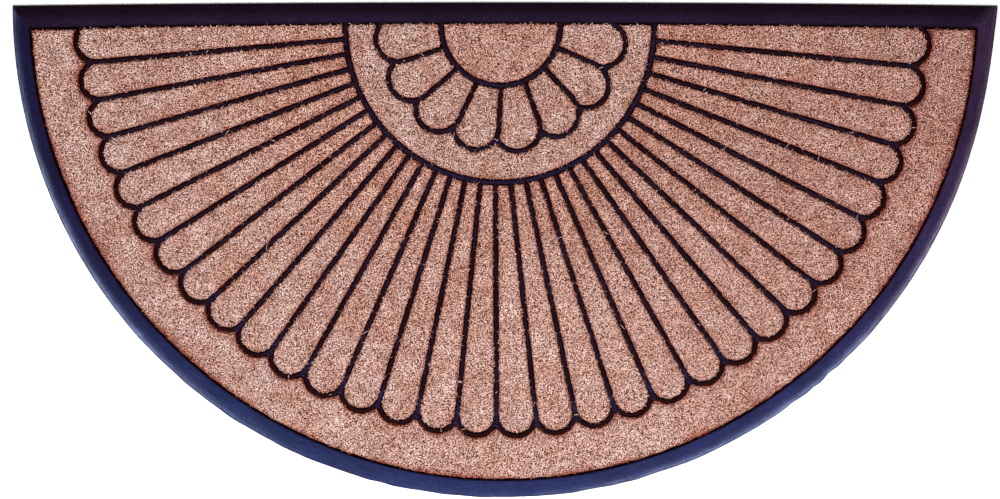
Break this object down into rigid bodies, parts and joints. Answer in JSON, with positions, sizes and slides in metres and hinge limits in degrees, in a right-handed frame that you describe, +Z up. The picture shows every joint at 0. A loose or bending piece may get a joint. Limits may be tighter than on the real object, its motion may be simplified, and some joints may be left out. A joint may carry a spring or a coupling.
{
  "type": "coir doormat",
  "caption": "Half-round coir doormat: coir pile set in a moulded rubber tray with a sloped rim, its raised ribs drawing a fan of petals round a rosette.",
  "frame": {"origin": "on the floor, under the middle of the mat's bounding box", "axes": "+X along the straight edge, to the right as one looks down on the mat with its straight edge away; +Y towards the straight edge; +Z up, out of the pile"},
  "size_m": [1.2252, 0.6156, 0.012],
  "materials": {
    "rubber": "moulded rubber, near black with a blue cast, satin",
    "coir": "upright coir fibre pile, pinkish tan with dark and pale flecks, matt"
  },
  "bodies": {
    "root": {"rubber_tray": "rubber", "coir_band": "coir", "fan_petal_01": "coir", "fan_petal_02": "coir", "fan_petal_03": "coir", "fan_petal_04": "coir", "fan_petal_05": "coir", "fan_petal_06": "coir", "fan_petal_07": "coir", "fan_petal_08": "coir", "fan_petal_09": "coir", "fan_petal_10": "coir", "fan_petal_11": "coir", "fan_petal_12": "coir", "fan_petal_13": "coir", "fan_petal_14": "coir", "fan_petal_15": "coir", "fan_petal_16": "coir", "fan_petal_17": "coir", "fan_petal_18": "coir", "fan_petal_19": "coir", "fan_petal_20": "coir", "fan_petal_21": "coir", "fan_petal_22": "coir", "fan_petal_23": "coir", "fan_petal_24": "coir", "fan_petal_25": "coir", "fan_petal_26": "coir", "fan_petal_27": "coir", "fan_petal_28": "coir", "fan_petal_29": "coir", "fan_petal_30": "coir", "fan_petal_31": "coir", "fan_petal_32": "coir", "coir_ring": "coir", "rosette_petal_1": "coir", "rosette_petal_2": "coir", "rosette_petal_3": "coir", "rosette_petal_4": "coir", "rosette_petal_5": "coir", "rosette_petal_6": "coir", "rosette_petal_7": "coir", "rosette_petal_8": "coir", "half_disc": "coir"}
  },
  "joints": []
}
